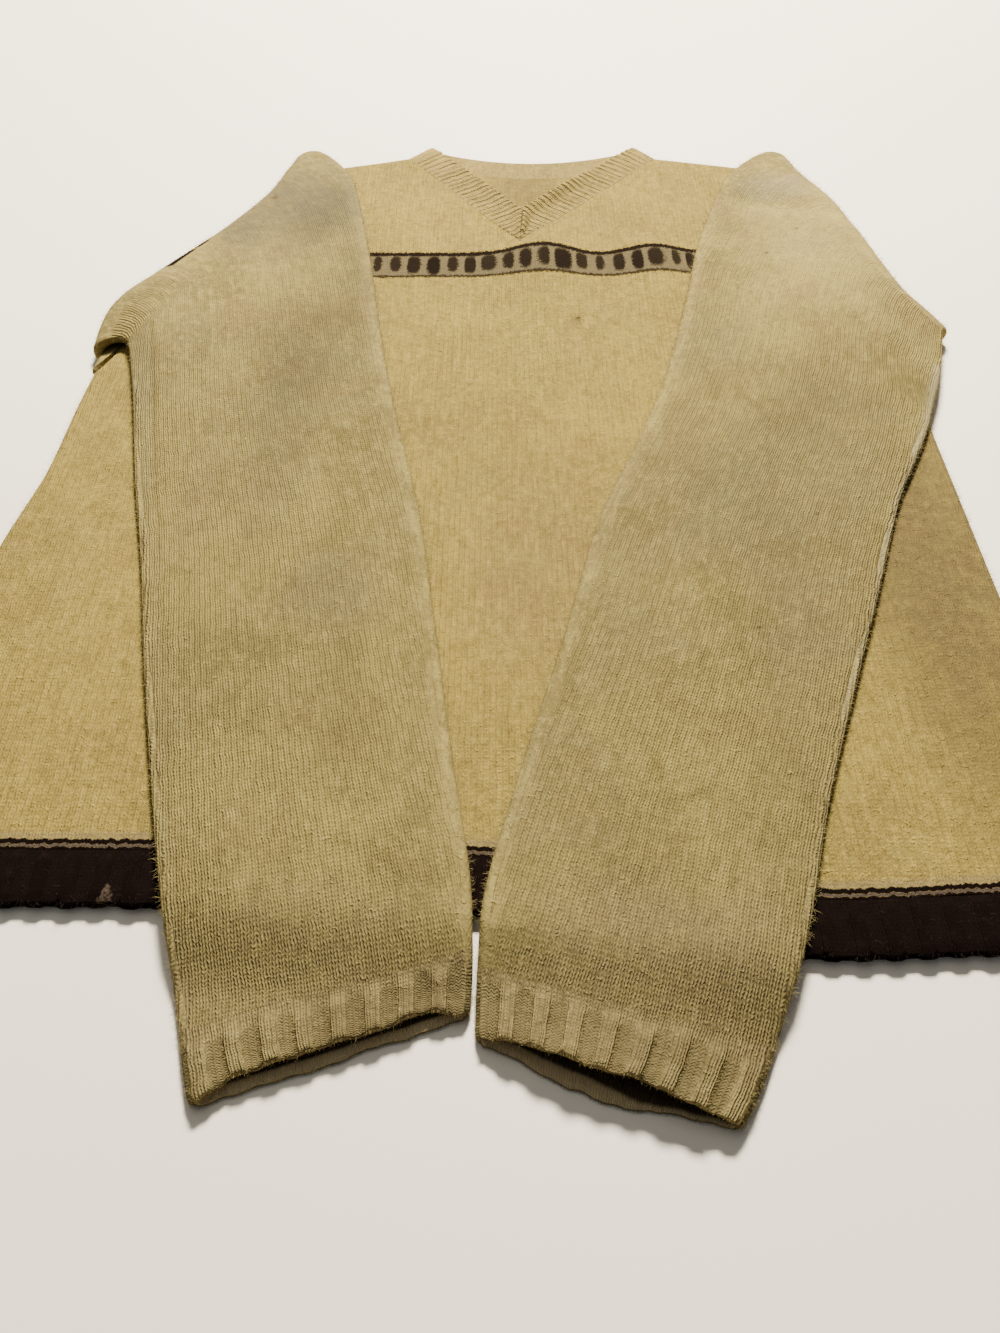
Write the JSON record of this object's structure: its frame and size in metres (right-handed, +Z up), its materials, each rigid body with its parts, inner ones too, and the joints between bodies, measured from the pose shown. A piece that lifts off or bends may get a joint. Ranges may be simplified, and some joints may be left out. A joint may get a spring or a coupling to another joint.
{
  "type": "v-neck sweater",
  "caption": "Thick felted wool V-neck sweater lying flat, ribbed neck, cuffs and hem, with both long sleeves folded over the front so the cuffs reach past the hem",
  "frame": {"origin": "centre of the bounding box in plan, on the surface that the sweater lies on", "axes": "+X runs across the chest towards the sleeve on the right as seen, +Y runs from the cuffs and hem to the neck, +Z is up from the surface"},
  "size_m": [0.5199, 0.6892, 0.0218],
  "materials": {
    "panel_wool": "thick felted cream wool, matte and fuzzy",
    "sleeve_wool": "cream wool knit, matte and fuzzy, slightly greyer",
    "cream_rib": "cream wool ribbing, matte",
    "hem_rib": "very dark brown wool ribbing, matte"
  },
  "bodies": {
    "root": {"back": "panel_wool", "front": "panel_wool", "hem_back": "hem_rib", "hem_front": "hem_rib", "sleeve_left": "sleeve_wool", "sleeve_right": "sleeve_wool", "cuff_left": "cream_rib", "cuff_right": "cream_rib", "neck_band": "cream_rib"}
  },
  "joints": []
}
